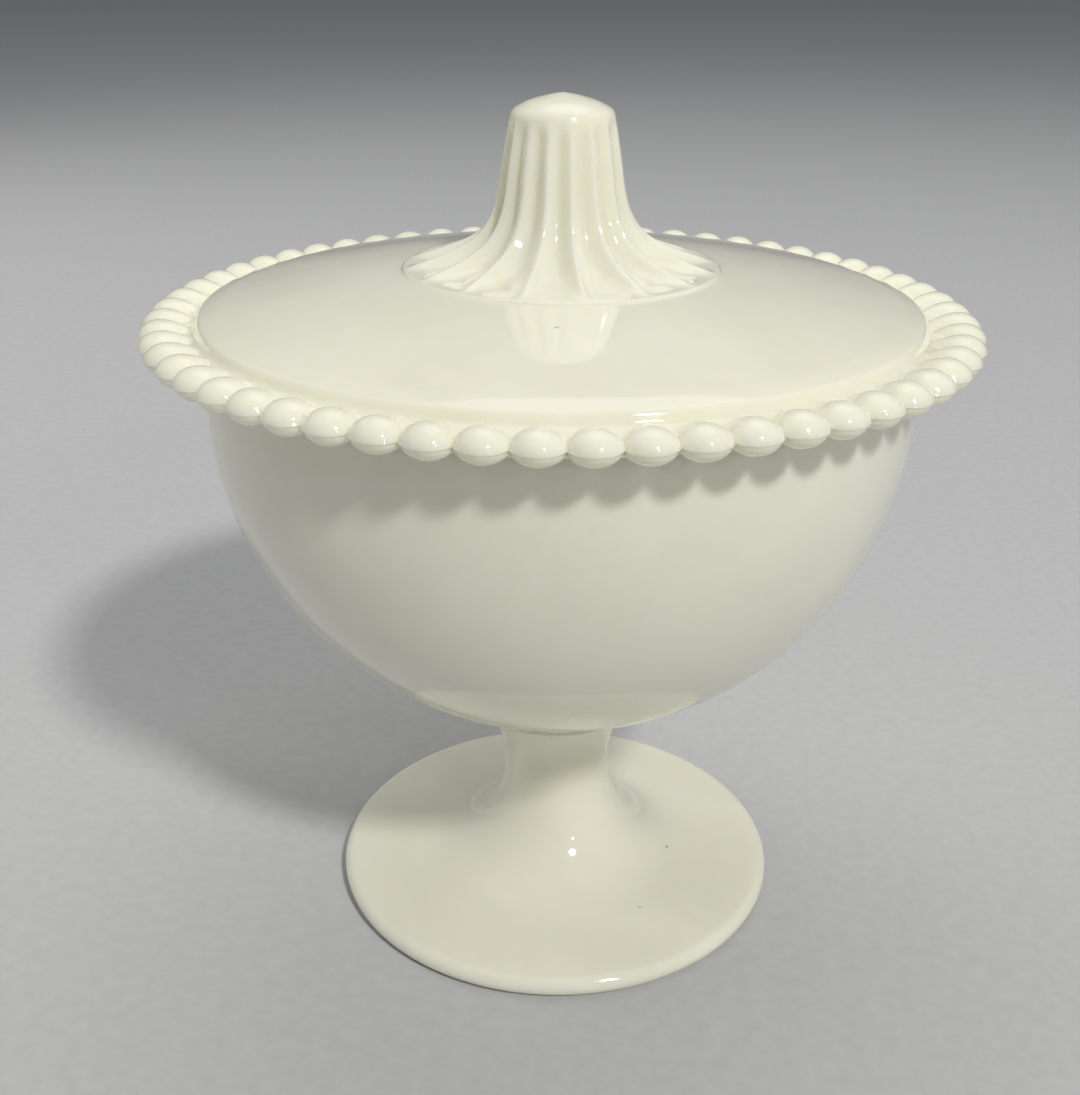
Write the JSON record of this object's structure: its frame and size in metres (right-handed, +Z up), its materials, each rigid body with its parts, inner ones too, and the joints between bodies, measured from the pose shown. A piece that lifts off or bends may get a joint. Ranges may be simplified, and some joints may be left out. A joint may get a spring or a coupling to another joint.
{
  "type": "covered pedestal jar",
  "caption": "Round opal glass jar on a stemmed foot, with a loose domed lid that has a beaded rim and a tall fluted finial.",
  "frame": {"origin": "centre of the foot's underside, on the plane the jar stands on", "axes": "+Z up along the jar's axis, towards the finial; -Y is the side the picture shows"},
  "size_m": [0.15, 0.1498, 0.1587],
  "materials": {
    "opal_glass_bowl": "polished",
    "opal_glass_lid": "polished"
  },
  "bodies": {
    "jar": {"bowl": "opal_glass_bowl", "pedestal": "opal_glass_bowl"},
    "lid": {"lid": "opal_glass_lid"}
  },
  "joints": [
    {"name": "lid_lift", "type": "slide", "parent": "jar", "child": "lid", "axis": [0, 0, 1], "range_m": [0, 0.08]}
  ]
}
